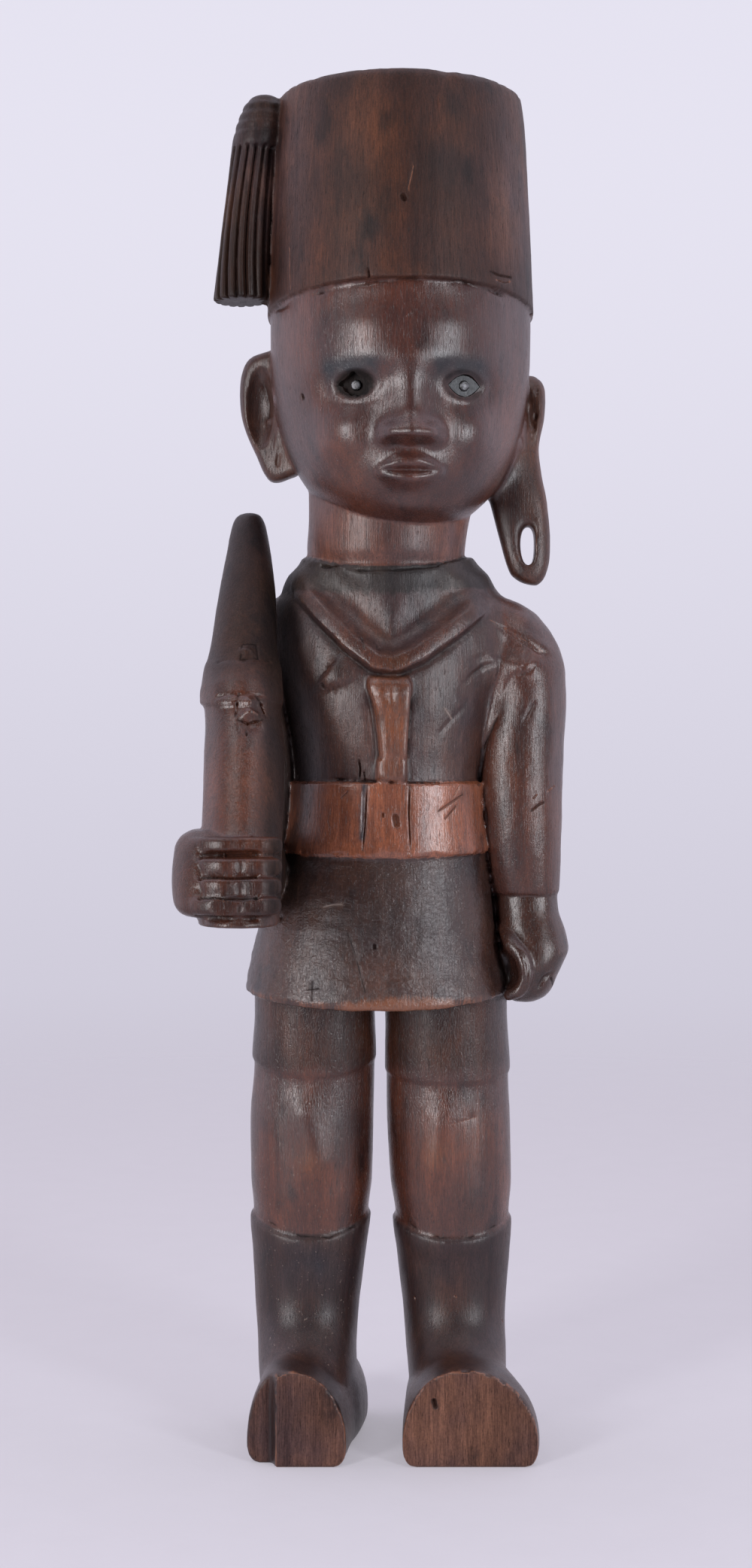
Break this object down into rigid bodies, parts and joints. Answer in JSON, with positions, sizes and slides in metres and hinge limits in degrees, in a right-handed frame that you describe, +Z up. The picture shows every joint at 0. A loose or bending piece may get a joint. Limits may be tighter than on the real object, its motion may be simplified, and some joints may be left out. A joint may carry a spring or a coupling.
{
  "type": "carved wooden standing figure",
  "caption": "Carved wooden figure of a standing soldier in a tall tasselled fez, belted tunic, shorts and boots, with a rifle at the slope and inlaid eyes.",
  "frame": {"origin": "under the middle of the figure's bounding box, on the ground plane of its soles", "axes": "+Z up along the standing figure, -Y the way it faces, +X towards the figure's own left"},
  "size_m": [0.17, 0.18, 0.6],
  "materials": {
    "carved_wood": "dark stained hardwood, satin to glossy from handling, with darker pigment on the tunic, boots and brows",
    "eye_plate": "dull grey, worn",
    "eye_stud": "dull, worn bright on its dome"
  },
  "bodies": {
    "root": {"figure": "carved_wood", "left_eye_plate": "eye_plate", "left_eye_stud": "eye_stud", "right_eye_stud": "eye_stud"}
  },
  "joints": []
}
